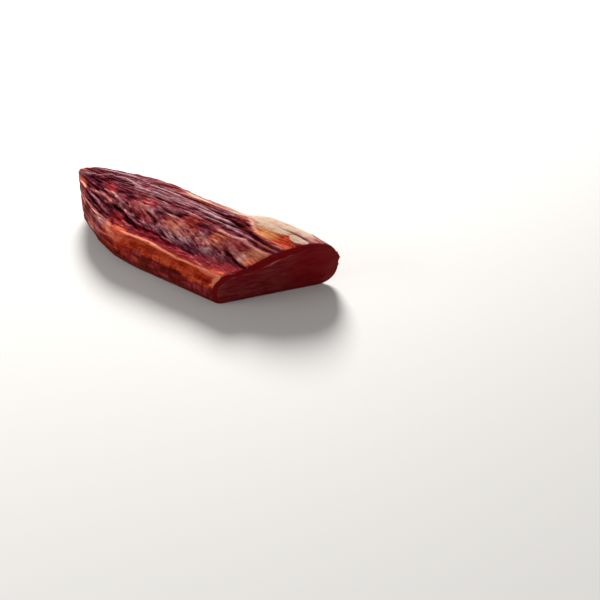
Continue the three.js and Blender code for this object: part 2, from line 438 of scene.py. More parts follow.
# Patches of each layer, from the tip to the cut: the middle along and round the girth and half
# the size both ways, in thousandths, then tilt and strength. The tilt is how much further round
# the girth a patch lies for each share of the length.
PATCHES = {
    "painted_highlight_and_bloom": [
        (40, 354, 35, 10, 0, 0.9), (150, 400, 120, 20, 0, 0.6), (190, 168, 150, 12, 0, 1.5),
        (210, 287, 18, 12, 0, 0.9), (220, 195, 150, 26, 0.05, 0.7), (220, 480, 35, 20, 0.3, 1.4),
        (230, 430, 90, 30, 0.1, 1), (240, 311, 20, 7, 0, 0.7), (285, 301, 22, 7, -0.2, 1.2),
        (305, 338, 30, 6, 0.15, 0.8), (350, 430, 30, 14, 0.6, 1.4), (400, 225, 340, 30, 0.02, 0.6),
        (425, 292, 22, 10, 0, 0.8), (425, 415, 30, 10, 0.3, 1.2), (440, 323, 50, 16, 0.2, 1.1),
        (490, 277, 30, 8, 0, 0.4), (603, 364, 28, 8, 0.3, 1.5), (620, 345, 60, 20, 0.2, 0.8),
        (680, 480, 40, 20, 0.2, 0.5), (753, 337, 24, 9, 0.1, 1.2), (790, 366, 40, 8, 0.1, 0.7),
        (838, 302, 25, 8, 0, 0.8), (870, 495, 60, 12, 0.1, 0.4), (890, 333, 25, 8, 0.1, 0.8),
        (955, 340, 36, 10, 0.1, 1.3), (960, 327, 40, 18, 0, 0.8), (978, 174, 24, 14, 0, 1.3),
        (998, 466, 13, 28, 0, 1.3),
    ],
    "painted_shade_and_blotches": [
        (90, 190, 50, 16, 0, 0.4), (115, 294, 50, 16, -0.5, 0.9), (120, 322, 60, 10, 0, 0.5),
        (170, 430, 25, 28, 0.3, 1.1), (245, 360, 30, 6, 0.1, 0.8), (280, 393, 30, 8, 0.1, 0.6),
        (285, 450, 25, 12, 0.2, 0.6), (300, 293, 50, 8, 0.08, 0.6), (315, 360, 50, 8, 0.2, 0.9),
        (335, 398, 22, 9, 0.3, 0.9), (350, 493, 40, 10, 0.2, 0.8), (354, 300, 25, 10, 0, 0.6),
        (360, 166, 50, 16, 0, 0.7), (385, 352, 24, 5, 0.2, 0.8), (480, 506, 50, 20, 0.2, 0.6),
        (490, 377, 55, 9, 0, 0.6), (500, 200, 50, 5, 0, 0.6), (500, 336, 15, 6, 0.2, 0.6),
        (515, 462, 30, 10, 0.1, 0.4), (528, 314, 28, 8, 0.2, 0.8), (535, 280, 30, 7, 0, 0.6),
        (600, 285, 30, 6, 0.1, 0.6), (620, 452, 50, 12, 0, 0.4), (630, 398, 200, 12, 0.02, 0.5),
        (675, 291, 22, 7, 0.2, 0.6), (700, 226, 40, 10, 0.2, 0.9), (720, 530, 100, 30, 0, 0.5),
        (750, 400, 60, 8, 0.05, 0.6), (768, 360, 22, 6, 0.2, 0.7), (790, 455, 40, 12, 0, 0.6),
        (795, 285, 30, 5, 0.1, 0.6), (840, 262, 100, 8, 0.25, 0.4), (900, 358, 50, 6, 0.2, 0.4),
        (930, 482, 40, 14, 0, 0.9),
    ],
    "violet": [
        (170, 200, 200, 35, 0, 1.1), (280, 262, 100, 20, 0, 1), (290, 448, 35, 16, 0.2, 1.2),
        (400, 253, 35, 12, 0, 0.9), (650, 360, 120, 22, 0.2, 1.1), (700, 314, 30, 16, 0.1, 0.8),
        (820, 368, 70, 15, 0.1, 0.8), (985, 140, 30, 40, 0, 0.8),
    ],
    "brown": [
        (165, 260, 25, 18, 0, 0.6), (370, 278, 30, 10, 0, 0.6), (580, 206, 60, 9, 0, 0.8),
        # The two large patches, at (600, 790) and (750, 580), paint the lower near side and the
        # underside dark red-brown: partly the meat's colour, partly painted shade where these sides
        # face away from the light
        (600, 790, 600, 160, 0, 1.6), (640, 303, 45, 14, 0.1, 0.7), (735, 303, 25, 8, 0.1, 0.7),
        (750, 580, 500, 75, 0, 1.8), (765, 228, 45, 13, 0.45, 1), (810, 309, 22, 8, 0, 1.1),
        (880, 313, 60, 12, 0, 1), (950, 284, 50, 6, 0.1, 0.8),
    ],
    "pink": [
        (110, 410, 60, 30, 0, 0.7), (180, 465, 120, 40, 0.2, 0.6), (220, 314, 30, 8, -0.1, 0.5),
        (240, 340, 30, 6, 0, 0.8), (270, 420, 70, 20, 0.1, 0.6), (340, 430, 20, 22, 1, 1.4),
        (390, 316, 45, 12, 0.1, 1.1), (540, 488, 30, 14, 0.1, 0.7), (590, 330, 65, 20, 0.1, 1.1),
        (600, 145, 220, 22, 0, 1), (640, 279, 40, 11, 0, 1), (670, 331, 30, 14, 0.1, 0.8),
        (735, 200, 22, 8, 0.3, 0.9), (750, 80, 260, 45, 0, 0.6), (752, 337, 30, 10, 0.1, 1.4),
        (840, 330, 40, 12, 0.1, 1.4), (945, 341, 32, 10, 0.1, 1.3), (950, 150, 50, 30, 0, 0.9),
    ],
    "tan": [
        # The first two patches paint highlights on the tip's flap and on a fold of the tip
        (0, 360, 20, 30, 0, 0.8), (15, 270, 30, 20, 0, 0.8), (580, 327, 40, 12, 0.1, 0.35),
        (755, 308, 20, 8, 0.1, 0.5), (785, 320, 30, 14, 0.1, 0.75), (970, 325, 35, 20, 0, 1.1),
    ],
    "red": [
        (207, 288, 30, 20, 0.1, 0.95), (355, 373, 30, 9, 0.25, 1.2), (375, 390, 60, 14, 0.2, 1.2),
        (420, 330, 60, 14, 0.2, 0.7), (427, 292, 36, 17, 0.1, 1), (480, 496, 60, 16, 0, 1),
        (490, 377, 60, 10, 0, 0.8), (500, 540, 40, 50, 0.5, 0.6), (560, 398, 220, 13, 0.04, 0.8),
        (640, 300, 50, 16, 0.1, 0.4), (680, 545, 50, 40, 0.5, 0.6), (780, 411, 90, 13, 0.02, 0.9),
        (790, 452, 50, 18, 0, 1.3), (860, 388, 60, 10, 0.05, 0.7), (890, 313, 50, 11, 0, 0.6),
        (900, 550, 120, 30, 0.1, 0.6), (920, 410, 100, 15, 0, 0.7), (930, 482, 40, 14, 0, 0.8),
        (970, 384, 40, 14, 0, 1), (975, 243, 30, 14, 0.1, 1), (995, 235, 12, 40, 0, 0.8),
    ],
    "orange": [
        (420, 450, 55, 34, 0.2, 1.3), (420, 515, 100, 40, 0.2, 0.5), (630, 298, 45, 20, 0.1, 0.38),
        # The long patch at (750, 463) is the orange band under the near edge, brighter than the side
        # below it partly as painted light where the band faces up
        (750, 463, 330, 28, 0.03, 1.5), (785, 314, 40, 14, 0, 0.35), (870, 497, 60, 20, 0.1, 1),
        (918, 212, 18, 20, 0, 1.2), (945, 235, 42, 17, 0.1, 1.1), (950, 468, 80, 42, 0, 1),
    ],
    "salmon": [
        # The first patch paints a highlight on the tip's flap
        (45, 352, 33, 12, 0, 0.9), (220, 480, 30, 18, 0.3, 0.6), (345, 434, 18, 18, 1, 0.9),
        (390, 455, 35, 16, 0.3, 0.9), (410, 428, 40, 20, 0.4, 1), (585, 325, 40, 12, 0.1, 0.35),
        (955, 440, 50, 10, -0.05, 1.5), (985, 346, 20, 10, 0, 1.5), (985, 431, 12, 10, 0, 1.5),
        # Painted highlight on the near corner by the cut, where the bead of the near edge wraps over
        # it
        (998, 466, 14, 30, 0, 2.6),
    ],
    "cream": [
        # The first patch paints a highlight on the tip's flap
        (60, 356, 20, 6, 0.1, 0.45), (630, 100, 120, 12, -0.1, 0.7), (780, 110, 120, 30, -0.1, 1.3),
        (790, 165, 55, 30, 0.3, 1.3), (855, 172, 45, 28, 0.2, 1.3), (900, 150, 50, 18, 0.1, 1.2),
        (948, 199, 20, 11, 0.35, 1.4), (968, 196, 22, 12, 0, 1.1),
    ],
    "amber": [
        (868, 226, 44, 18, 0.15, 0.7), (870, 232, 22, 9, 0.2, 0.9), (965, 314, 20, 7, 0, 0.5),
    ],
}
PATCH_REACH = 3

# Thin lines of each layer: the places that each runs through, its width and its strength. The lines
# of the first layer paint highlights on crests, most pink and salmon lines, which follow ridges and
# edges, partly paint highlights on them, and the one line of the second layer is painted shade in the
# crack of the fat.
LINES = {
    "painted_highlight_and_bloom": [
        ([(0, 310), (50, 297), (93, 263), (150, 224), (184, 211), (224, 210), (289, 238),
          (380, 236)], 2.2, 1.3),
        ([(340, 238), *LIGHT_LINE], 1.6, 1.3),
        (FAR_FOLD, 1.4, 1.1),
        ([(600, 254), (700, 260), (755, 265), (820, 271), (900, 279), (1000, 286)], 1.3, 1),
        ([(440, 298), (490, 300), (550, 305), (610, 309)], 1.3, 0.9),
        (FAR_LINE, 1.5, 1),
        ([(200, 304), (238, 310), (296, 323), (340, 330)], 1.6, 1),
        (SLANTING_LINE, 1.5, 0.8),
        ([(620, 388), (700, 398), (800, 400), (960, 408)], 1.5, 0.9),
        ([(450, 427), (500, 424), (587, 424), (633, 428), (750, 438), (950, 438)], 1.8, 1),
    ],
    "painted_shade_and_blotches": [(FAT_CRACK, 1.6, 1.2)],
    "pink": [
        ([(100, 351), (147, 347), (185, 339), (213, 338), (270, 341)], 2, 0.9),
        (MIDDLE_LINE, 1.5, 0.9),
        ([(380, 323), (420, 325), (465, 338), (510, 350)], 1.2, 0.8),
        (WAVY_LINE, 1.7, 1.5),
        (SIDE_LINE, 1.7, 1.3),
        (TIP_LINE, 2.4, 0.8),
    ],
    "orange": [([(875, 240), (900, 226), (914, 210), (918, 185)], 2.4, 1)],
    "salmon": [
        ([(360, 188), (450, 188), (560, 184), (700, 180)], 1.8, 0.6),
        ([(720, 182), *FAT_EDGE], 3, 1.2),
        ([(240, 472), (289, 477), (330, 474), (380, 464)], 2.8, 1.2),
        ([(390, 430), *EDGE_LINE], 2.6, 1.2),
    ],
    "cream": [
        ([(430, 166), (500, 166), (600, 170), (680, 173), (740, 174), (820, 165)], 4.8, 1.3),
        ([(720, 182), (786, 210), (818, 229), (853, 242), (880, 250)], 2.2, 0.6),
    ],
}
LINE_CELLS = (13, 20, 5)
LINE_UNEVEN = (0.55, 1.3)


def patch(along, girth, place, tilt):
    """1 in the middle of a patch, over a half at its edge and 0 well outside."""
    middle_along, middle_girth, half_along, half_girth = from_thousandths(place)
    away = (girth - middle_girth - tilt * (along - middle_along) + 0.5) % 1 - 0.5
    size = ((along - middle_along) / half_along) ** 2 + (away / half_girth) ** 2
    return ease(PATCH_REACH, 0, size)


def paint_fields(along, girth):
    """For each layer, how strongly it shows at each place of the skin."""
    shifted = along + waver(along, girth, PATCH_SHIFT)
    turned = girth + waver(along, girth, PATCH_SWAY)
    fields = {layer: np.zeros_like(along) for layer in TONE_LAYERS + COLOUR_LAYERS}
    for layer, patches in PATCHES.items():
        for *place, tilt, strength in patches:
            shape = strength * patch(shifted, turned, place, tilt)
            fields[layer] = np.maximum(fields[layer], shape)
    uneven = mix(*LINE_UNEVEN, skin_noise(along, girth, *LINE_CELLS))
    for layer, lines in LINES.items():
        for places, width, strength in lines:
            shape = strength * uneven * strand(along, girth, places, width)
            fields[layer] = np.maximum(fields[layer], shape)
    return fields


def fat_share(fields):
    """Where the skin is smooth fat: 1 there, else 0."""
    return np.clip(fields["cream"] + fields["amber"], 0, 1)


def calm_share(along, girth, fields):
    """Where the skin is smooth and mottled: 1 on the near side and under, half on fat, else 0."""
    side = ease(*CALM_SIDE_FROM, girth) * ease(*CALM_FROM, along)
    calm = np.maximum(side, ease(*CALM_UNDER_FROM, girth)) * (1 - ease(*CALM_UNDER_END, girth))
    return np.maximum(calm, CALM_ON_FAT * fat_share(fields))


def slanting(along, girth):
    """How much the folds slant towards the near side: 1 across the middle of the top, else 0."""
    return bump(girth - SLANT_MIDDLE, SLANT_WIDTH) * ease(*SLANT_FROM, along)


def wrinkles(along, girth):
    """Folds of the dried skin, from 0 in a valley to 1 on a crest."""
    return np.hypot(2 * skin_noise(along, girth, *WRINKLE_CELLS) - 1, WRINKLE_SOFT)


def fine_folds(along, girth, fold):
    """Finer folds, from 0 in a valley to 1 on a crest."""
    cells_along, cells_round, seed = fold["grain"]

    def folds(lines):
        sway = waver(along, lines, [fold["sway"]])
        value = grain(along * cells_along, lines * cells_round + sway, cells_round, seed)
        value = np.clip(FINE_GAIN * np.hypot(value, FINE_SOFT), 0, 1)
        return (1 - value) ** CREST_POWER if fold["thin_crests"] else value

    return mix(folds(girth), folds(girth - SLANT * along), slanting(along, girth))


def combed(along, girth):
    """Long parallel folds, from 0 in a valley to 1 on a crest, and how far they show."""
    turns = girth * GIRTH / COMB_PITCH + waver(along, girth, COMB_SWAY)
    value = (0.5 - 0.5 * np.cos(2 * math.pi * turns)) ** CREST_POWER
    uneven = mix(*COMB_UNEVEN, skin_noise(along, girth, *COMB_CELLS))
    return value, within(girth, *COMB_ROUND) * uneven * within(along, *COMB_ALONG)


def pleats(turns):
    """Even pleats, from 0 on a crest to 1 in a valley at each whole number."""
    return 1 - np.abs(np.sin(math.pi * turns))


def gathers(along, girth):
    """Broad pleats that run out from the tip."""
    sway = GATHER_SWAY * noise(along * GATHER_SWAY_CELLS, GATHER_SWAY_ROW, GATHER_FOLDS)
    return pleats(GATHER_FOLDS * girth + sway) * (1 - ease(*GATHER_END, along))


def small_pleats(along, girth):
    """Narrow pleats between the gathers."""
    sway = waver(along, girth, PLEAT_SWAY)
    return pleats(PLEAT_FOLDS * girth + sway) * within(along, *PLEAT_ALONG)


def clear_share(along, girth):
    """Where the skin is clear of the floor: 1 there, 0 on it, and less at the very tip."""
    above = 1 - ease(UNDER_FROM - UNDER_BLEND, UNDER_FROM, girth)
    above = above + ease(UNDER_TO, UNDER_TO + UNDER_BLEND, girth)
    lifted = 1 - ease(*LIFT_END, along)
    return np.maximum(above, lifted) * ease(*RELIEF_FROM, along)


def fold_share(along, girth, fat):
    """How deep the folds are: 1, and less where the skin is flatter."""
    flat = within(girth, *FLAT_ROUND) * ease(*FLAT_FROM, along)
    by_cut = ease(*BY_CUT_FROM, along)
    return mix(1, FOLDS_ON_FLAT, flat) * mix(1, FOLDS_BY_CUT, by_cut) * mix(1, FOLDS_ON_FAT, fat)


def broad_relief(along, girth, depth):
    """Height and tone of the wrinkles, swells and pleats, and of the bead on the near edge; the tone
    is painted shade in valleys and pleats and painted highlight on crests.
    """
    wrinkle = wrinkles(along, girth)
    swell = skin_noise(along, girth, *SWELL_CELLS) - 0.5
    gather = gathers(along, girth)
    pleat = small_pleats(along, girth)
    bead = bump((girth - NEAR_EDGE) * GIRTH, BEAD_WIDTH) * ease(*BEAD_FROM, along)
    height = WRINKLE_DEPTH * depth * (wrinkle - WRINKLE_SUNK) + SWELL_DEPTH * swell
    height = height - GATHER_DEPTH * gather - PLEAT_DEPTH * pleat + BEAD_HEIGHT * bead
    shade_and_tone = WRINKLE_TONE * depth * (wrinkle - 0.5) - GATHER_TONE * gather - PLEAT_TONE * pleat
    return height, shade_and_tone


def fold_relief(along, girth, depth):
    """Height and tone of the combed folds, and of the fine ones, which give way to them; the tone is
    painted shade in their valleys and painted highlight on their crests.
    """
    depth = depth * ease(*FOLDS_FROM, along)
    comb, shows = combed(along, girth)
    height = COMB_DEPTH * depth * shows * (comb - 0.5)
    shade_and_tone = COMB_TONE * depth * shows * (comb - COMB_MIDDLE)
    depth = depth * mix(1, FINE_AMONG_COMBED, shows)
    for fold in FINE_FOLDS:
        value = depth * (fine_folds(along, girth, fold) - 0.5)
        height = height + fold["depth"] * value
        shade_and_tone = shade_and_tone + FINE_TONE * value
    return height, shade_and_tone


def line_relief(along, girth):
    """Height and tone of the creases and ridges, and of the soft swells of the back; the tone is
    painted shade in the creases and painted highlight on the ridges.
    """
    height = np.zeros_like(along)
    shade_and_tone = np.zeros_like(along)
    for lines, way, weight in ((CREASES, -1, CREASE_TONE), (RIDGES, 1, RIDGE_TONE)):
        for places, size, width in lines:
            line = way * size * strand(along, girth, places, width)
            height += line
            shade_and_tone += weight * line
    for swell in BACK_SWELLS:
        height += swell["rise"] * strand(along, girth, swell["line"], swell["width"], swell["ends"])
    return height, shade_and_tone


def relief(along, girth, fat):
    """How far the skin stands out from the smooth form, and its tone, from 0 as painted shade in
    folds to 1 as painted highlight on crests.
    """
    depth = fold_share(along, girth, fat)
    heights, shades_and_tones = zip(
        broad_relief(along, girth, depth),
        fold_relief(along, girth, depth),
        line_relief(along, girth),
    )
    return clear_share(along, girth) * sum(heights), np.clip(TONE_LEVEL + sum(shades_and_tones), 0, 1)


def skin_points(along, girth, length, fat):
    """Points of the skin in the solid's own millimetres, and the tone at each, with its painted shade
    and highlights.
    """
    distance = along * length
    across, up = smooth_form(distance, girth)
    ahead_across, ahead_up = smooth_form(distance, girth + GIRTH_STEP)
    behind_across, behind_up = smooth_form(distance, girth - GIRTH_STEP)
    out_across, out_up = ahead_up - behind_up, behind_across - ahead_across
    size = np.hypot(out_across, out_up)
    height, shade_and_tone = relief(along, girth, fat)
    y = across + out_across / size * height
    flap = sum(
        f["out"] * bump(girth - f["at"], f["spread"]) * (1 - ease(0, f["fades"], along))
        for f in TIP_FLAPS
    )
    near_cut = ease(LEAN_START, 1, along)
    x = distance - flap + near_cut * CUT_SLANT * (y - across)
    z = np.maximum(up + out_up / size * height, 0)
    return np.stack([x, y, z], -1), shade_and_tone


# The cut's outward direction and its level direction, both flat
CUT_OUTWARD = np.array([1, -CUT_SLANT, 0]) / math.hypot(1, CUT_SLANT)
CUT_LEVEL = np.array([CUT_SLANT, 1, 0]) / math.hypot(1, CUT_SLANT)


def distance_to_outline(points, outline):
    """How far each point lies from a closed outline."""
    best = np.full(points.shape[:-1], np.inf)
    for start, end in zip(outline, np.roll(outline, -1, 0)):
        line = end - start
        share = np.clip(((points - start) @ line) / max(line @ line, TINY), 0, 1)
        away = np.linalg.norm(points - start - share[..., None] * line, axis=-1)
        best = np.minimum(best, away)
    return best


# Waves of the cut face: height in millimetres, rate by the millimetre and start
CUT_RIPPLE = (0.22, 0.42)
CUT_RIPPLE_BEND = (1.3, 0.06)
CUT_SWELL = (0.35, 0.07, 0.8)
CUT_WAVES_FROM = (0.5, 7)


def cut_waves(points, rim):
    """Slight unevenness that the knife leaves, flat near the edge."""
    side = points @ CUT_LEVEL
    ripple = wave(points[..., 2], *CUT_RIPPLE, wave(side, *CUT_RIPPLE_BEND))
    return (ripple + wave(side, *CUT_SWELL)) * ease(*CUT_WAVES_FROM, rim)


def cut_rings(outline):
    """The rounded edge of the cut and the rings of its face, from an outline on its plane."""
    middle = outline.mean(0)
    inward = (middle - outline) / np.linalg.norm(outline - middle, axis=1)[:, None]
    edge = []
    for step in CUT_EDGE_STEPS:
        left = CUT_ROUNDING * (1 - step)
        sunk = CUT_ROUNDING - math.sqrt(CUT_ROUNDING ** 2 - left ** 2)
        edge.append(outline + inward * CUT_ROUNDING * step - CUT_OUTWARD * sunk)
    first = outline + inward * CUT_ROUNDING
    shares = 1 - np.linspace(0, 1, CUT_RINGS + 1)[:-1] ** CUT_CROWDING
    face = np.array([middle + (first - middle) * share for share in shares])
    return np.array(edge), face, middle


def tip_rings(edge, middle):
    """Rings of the blunt end, from its hollow middle out to the skin."""
    shares = np.linspace(0, 1, TIP_RINGS + 2)[1:-1]
    rings = np.array([middle + (edge - middle) * share for share in shares])
    sag = ease(0, 1, 1 - shares ** 2)[:, None]
    rings[..., 0] = mix(edge[:, 0], middle[0], sag)
    return rings


def polygons(rings, columns):
    """Quads between the rings, and the fans that close the first and the last ring."""
    ring = np.arange(columns)
    after = (ring + 1) % columns
    rows = columns * np.arange(rings - 1)[:, None]
    quads = np.stack([rows + ring, rows + after, rows + columns + after, rows + columns + ring], -1)
    last = (rings - 1) * columns
    tip_pole = rings * columns
    tip_fan = np.stack([np.full(columns, tip_pole), after, ring], -1)
    cut_fan = np.stack([last + ring, last + after, np.full(columns, tip_pole + 1)], -1)
    return quads.reshape(-1, 4).tolist(), tip_fan.tolist(), cut_fan.tolist()


# The cut: how far the seam of fat lies from the edge and how thick it is, round the girth
SEAM = [
    (0.1, 3, 0.4), (0.18, 6.5, 0.9), (0.26, 9, 1.9), (0.33, 9, 2), (0.38, 8, 0.9),
    (0.42, 7.2, 0.7), (0.46, 6.5, 0.9), (0.52, 5, 1.2), (0.58, 4.2, 1.1), (0.64, 3.4, 0.8),
    (0.7, 2.4, 0.3),
]
SEAM_THICK = 3
SEAM_THIN = 0.05

# How the seam's depth waves, as height, rate and start; how strong it is where it is thin, and
# how far a weak seam sinks under the lean
SEAM_WAVES = [(0.9, 0.23), (0.5, 0.61, 1)]
SEAM_WEAKEST = 0.45
SEAM_SUNK = 0.6

# Painted highlights on the cut's rim by the near corner, where the bead of the near edge meets the
# cut: girth, depth from the edge, half sizes round and inward
PAINTED_RIM_HIGHLIGHTS = [(0.455, 0, 9, 1.3), (0.5, 0, 7, 1)]

# Where the lean turns redder: outside the seam, where the seam is thick enough, and towards the
# far end of the cut, in millimetres along it
REDDER_BAND_END = (-2, 1)
REDDER_WIDTH_FROM = (0.1, 0.9)
REDDER_SIDE_FROM = (30, 75)
REDDER_SIDE_SHARE = 0.75


def painted_rim_highlights(turns, rim):
    """1 in the middle of a painted highlight, 0 at its edge and down to -1 outside."""
    highlight_share = np.full_like(rim, -1)
    for at, inward, half_round, half_deep in PAINTED_RIM_HIGHLIGHTS:
        away = np.hypot((turns - at) * GIRTH / half_round, (rim - inward) / half_deep)
        highlight_share = np.maximum(highlight_share, 1 - away)
    return highlight_share


def cut_fields(points, rim, girths):
    """Fields that the cut's material draws its seam, its redder parts and the painted highlights on
    its rim from.
    """
    turns = np.broadcast_to(girths, rim.shape)
    places, depths, widths = zip(*SEAM)
    side = points @ CUT_LEVEL
    side = side - side.min()
    past_seam = rim - np.interp(turns, places, depths) - sum(wave(side, *w) for w in SEAM_WAVES)
    width = np.interp(turns, places, widths, left=SEAM_THIN, right=SEAM_THIN)
    strength = np.clip(mix(SEAM_WEAKEST, 1, width / SEAM_THICK), 0, 1)
    seam = strength * np.clip(1 - np.abs(past_seam) / width, -1, 1) - SEAM_SUNK * (1 - strength)
    outer = (1 - ease(*REDDER_BAND_END, past_seam)) * ease(*REDDER_WIDTH_FROM, width)
    redder = np.maximum(outer, REDDER_SIDE_SHARE * ease(*REDDER_SIDE_FROM, side))
    return {"seam": seam, "painted_rim_highlight": painted_rim_highlights(turns, rim), "redder": redder}


def place_in_frame(vertices):
    """Move from the solid's own corner to the part's frame, whose origin is under its middle."""
    low, high = vertices.min(0), vertices.max(0)
    middle = (np.array([*CAD_BOX[0]]) + np.array([*CAD_BOX[1]])) / 2 / MM
    shift = middle - (low + high) / 2
    shift[2] = 0
    return (vertices + shift) * MM


def store(mesh, name, rings, poles):
    """Keep a number or a place for each point of the mesh, for its materials."""
    kind, key = ("FLOAT", "value") if rings.ndim == 2 else ("FLOAT_VECTOR", "vector")
    attribute = mesh.attributes.new(name, kind, "POINT")
    values = np.append(rings.ravel(), np.ravel(poles))
    attribute.data.foreach_set(key, values.astype(np.float32))


def unrolled(along, girth):
    """A place on a plain round bar of the loin's girth, so that grain runs on all round it."""
    turn = 2 * math.pi * girth
    radius = GIRTH / (2 * math.pi)
    return np.stack([along * BAR_LENGTH + 0 * turn, radius * np.cos(turn), radius * np.sin(turn)], -1)


def loin_mesh(rings, poles):
    """A mesh through the rings, closed by a point at each end."""
    quads, tip_fan, cut_fan = polygons(*rings.shape[:2])
    vertices = np.concatenate([rings.reshape(-1, 3), poles])
    mesh = bpy.data.meshes.new("cured_loin")
    mesh.from_pydata(place_in_frame(vertices).tolist(), [], quads + tip_fan + cut_fan)
    mesh.polygons.foreach_set("use_smooth", [True] * len(mesh.polygons))
    return mesh


def add_materials(mesh, rings):
    """The skin's material, and the cut's on the face of the cut."""
    total, columns = rings.shape[:2]
    material = np.zeros(len(mesh.polygons), np.int32)
    material[FACE_START * columns:(total - 1) * columns] = 1
    material[-columns:] = 1
    mesh.materials.append(skin_material())
    mesh.materials.append(cut_material())
    mesh.polygons.foreach_set("material_index", material)
    mesh.update()


# Values at the points that close the two ends, the tip's first, with a low tone there as painted
# shade in its hollow, and how dark the painted shade on the blunt end gets
POLE_TONES = (0.3, 0.5)
POLE_CALM = (0.5, 0.5)
POLE_SLANTS = (0, 0)
POLE_CUT = (0, -1)
POLE_GIRTH = 0.3
BLUNT_END_SHADE = 0.7


def with_ends(values):
    """Values of the skin, carried on over the tip's rings and the cut's edge and face."""
    over_tip = np.repeat(values[:1], TIP_RINGS, 0)
    over_cut = np.repeat(values[-1:], len(CUT_EDGE_STEPS) + CUT_RINGS, 0)
    return np.concatenate([over_tip, values, over_cut])


def store_skin_fields(mesh, along, girth, shade_and_tone, fields):
    for layer, field in fields.items():
        store(mesh, layer, with_ends(field), (field[0].mean(), field[-1].mean()))
    shades_and_tones = with_ends(shade_and_tone)
    # Painted shade on the blunt end, darkest at its hollow middle
    shades_and_tones[:TIP_RINGS] *= np.linspace(BLUNT_END_SHADE, 1, TIP_RINGS)[:, None]
    store(mesh, "shade_and_tone", shades_and_tones, POLE_TONES)
    store(mesh, "calm", with_ends(calm_share(along, girth, fields)), POLE_CALM)
    store(mesh, "slanting", with_ends(slanting(along, girth)), POLE_SLANTS)
    poles = (unrolled(0, POLE_GIRTH), unrolled(1, POLE_GIRTH))
    for name, lines in {"along_skin": girth, "slanting_skin": girth - SLANT * along}.items():
        store(mesh, name, with_ends(unrolled(along, lines)), poles)


def store_cut_fields(mesh, rings, rim, girths):
    for name, values in cut_fields(rings[FACE_START:], rim, girths).items():
        on_rings = np.zeros(rings.shape[:2])
        on_rings[FACE_START:] = values
        store(mesh, name, on_rings, POLE_CUT)
    on_cut = np.stack([rings @ CUT_LEVEL, rings[..., 2], rings @ CUT_OUTWARD], -1)
    store(mesh, "on_cut", on_cut, (on_cut[0, 0], on_cut[-1].mean(0)))


def add_object(name, data):
    thing = bpy.data.objects.new(name, data)
    bpy.context.scene.collection.objects.link(thing)
    return thing


def build_loin():
    """The whole loin as one object, with the fields that its materials use."""
    girths = np.concatenate([np.linspace(a, b, n, endpoint=False) for a, b, n in COLUMNS])
    rows = np.linspace(0, 1, ROWS) ** ROW_CROWDING
    along, girth = np.meshgrid(rows, girths, indexing="ij")
    fields = paint_fields(along, girth)
    skin, shade_and_tone = skin_points(along, girth, reach(girths)[None, :], fat_share(fields))

    outline = skin[-1].copy()
    skin[-1] -= CUT_OUTWARD * CUT_ROUNDING
    edge, face, cut_pole = cut_rings(outline)
    rim = distance_to_outline(face, outline)
    face += CUT_OUTWARD * cut_waves(face, rim)[..., None]
    tip_pole = skin[0].mean(0) + (TIP_HOLLOW, 0, 0)
    rings = np.concatenate([tip_rings(skin[0], tip_pole), skin, edge, face])

    mesh = loin_mesh(rings, [tip_pole, cut_pole])
    store_skin_fields(mesh, along, girth, shade_and_tone, fields)
    store_cut_fields(mesh, rings, rim, girths)
    add_materials(mesh, rings)
    return add_object("cured_loin", mesh)


def colour(red, green, blue):
    """A colour given as on a screen, from 0 to 255, as the shader takes it (the sRGB curve)."""
    shares = (c / 255 for c in (red, green, blue))
    return tuple(((c + 0.055) / 1.055) ** 2.4 if c > 0.04 else c / 12.92 for c in shares) + (1,)


# Colours of the skin, each as a ramp from painted shade at the bottom of the folds to painted
# highlight on their crests
TONES = {
    "ground": [(32, 2, 9), (80, 14, 24), (130, 51, 57), (171, 106, 111), (208, 156, 160)],
    "violet": [(34, 3, 14), (80, 17, 33), (127, 58, 70), (167, 115, 122), (210, 169, 173)],
    "brown": [(30, 4, 3), (66, 10, 7), (104, 23, 15), (138, 50, 34), (170, 92, 70)],
    "pink": [(92, 20, 24), (146, 56, 58), (192, 100, 94), (212, 136, 126), (230, 173, 160)],
    "tan": [(84, 18, 12), (150, 58, 42), (200, 106, 80), (224, 144, 112), (238, 186, 160)],
    "red": [(66, 4, 13), (122, 18, 28), (160, 46, 54), (188, 84, 86), (212, 132, 130)],
    "orange": [(76, 7, 3), (136, 26, 10), (186, 58, 30), (218, 100, 64), (236, 148, 114)],
    "salmon": [(124, 30, 22), (188, 66, 48), (224, 100, 76), (242, 132, 102), (254, 168, 136)],
    "amber": [(128, 50, 26), (188, 98, 48), (216, 136, 74), (228, 160, 104), (236, 192, 150)],
    "cream": [(150, 98, 78), (196, 150, 124), (214, 182, 158), (222, 200, 182), (228, 212, 200)],
}
# Painted shade in the bottoms of the deepest folds and creases
CREASE_SHADE_COLOUR = colour(30, 2, 6)
SHEEN_TINT = colour(255, 180, 196)
# The cut's lean and grain, deep red: the meat's own colour, darkened partly as painted shade, since
# the cut faces away from the light
SHADED_CUT_LEAN = colour(112, 12, 20)
SHADED_CUT_GRAIN = colour(146, 60, 58)

# What covers the cut's lean: the field, where it starts and is full, its share and its colour
CUT_COVERS = [
    ("redder", 0.1, 1, 0.9, colour(126, 7, 12)),
    ("seam", 0, 1, 0.85, colour(200, 112, 118)),
    # Painted highlight on the rim by the near corner
    ("painted_rim_highlight", 0, 0.8, 0.8, colour(250, 160, 126)),
]


